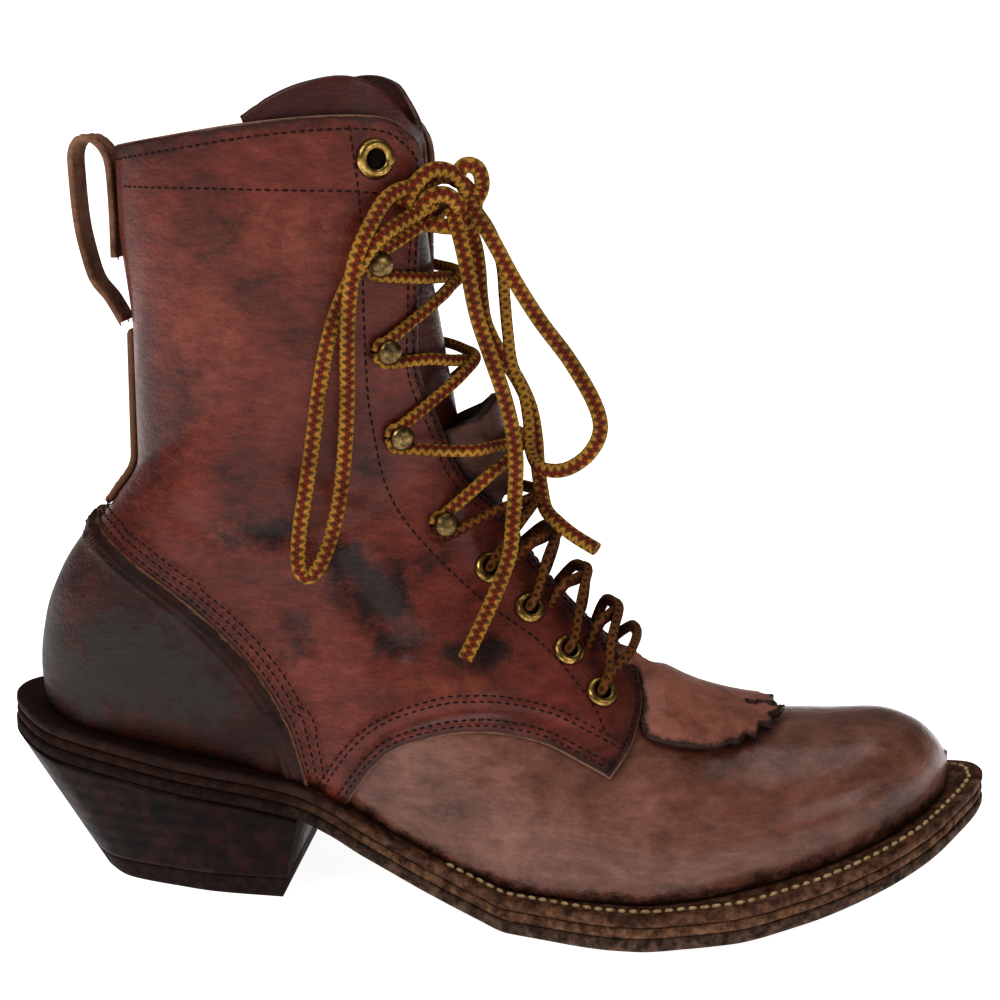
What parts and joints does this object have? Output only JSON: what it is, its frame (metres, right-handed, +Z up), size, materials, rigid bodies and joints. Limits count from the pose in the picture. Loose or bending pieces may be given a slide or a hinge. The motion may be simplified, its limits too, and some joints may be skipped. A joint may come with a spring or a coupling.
{
  "type": "logger_boot",
  "caption": "Worn brown leather logger boot, right foot: tall lace-up shaft with hooks and eyelets, kiltie, pull loop, laces in a bow, undercut heel.",
  "frame": {"origin": "on the floor, under the middle of the sole's outline", "axes": "+X to the toe, +Y to the inner (medial) side, +Z up; the outer side faces -Y"},
  "size_m": [0.312, 0.1076, 0.2529],
  "materials": {
    "vamp": "oiled smooth leather",
    "quarter": "oiled pull-up leather",
    "counter": "scuffed leather",
    "tongue": "smooth leather",
    "kiltie": "dusty leather",
    "strap": "roughout leather",
    "welt": "waxed edge",
    "midsole": "ribbed edge",
    "outsole": "matt",
    "heel": "stained stack",
    "insole": "bare vegetable tanned",
    "brass": "polished brass",
    "antique": "antique brass",
    "lace": "waxed round braid"
  },
  "bodies": {
    "root": {"outsole": "outsole", "midsole": "midsole", "welt": "welt", "heel_stack": "heel", "top_lift": "outsole", "insole": "insole", "tongue": "tongue", "counter": "counter", "backstay": "strap", "pull_loop": "strap", "kiltie": "kiltie", "eyelet_top_lateral": "brass", "hook_1_lateral": "antique", "hook_2_lateral": "antique", "hook_3_lateral": "antique", "hook_4_lateral": "antique", "eyelet_1_lateral": "brass", "eyelet_2_lateral": "brass", "eyelet_3_lateral": "brass", "eyelet_4_lateral": "brass", "eyelet_top_medial": "brass", "hook_1_medial": "antique", "hook_2_medial": "antique", "hook_3_medial": "antique", "hook_4_medial": "antique", "eyelet_1_medial": "brass", "eyelet_2_medial": "brass", "eyelet_3_medial": "brass", "eyelet_4_medial": "brass", "upper": "vamp", "quarter_lateral": "quarter", "quarter_medial": "quarter", "lace_crossing_1": "lace", "lace_crossing_2": "lace", "lace_crossing_3": "lace", "lace_crossing_4": "lace", "lace_crossing_5": "lace", "lace_crossing_6": "lace", "lace_crossing_7": "lace", "lace_bar_top": "lace", "lace_bar_low": "lace", "lace_knot": "lace", "lace_loop_lateral": "lace", "lace_loop_medial": "lace", "lace_end_long": "lace", "lace_end_short": "lace"}
  },
  "joints": []
}
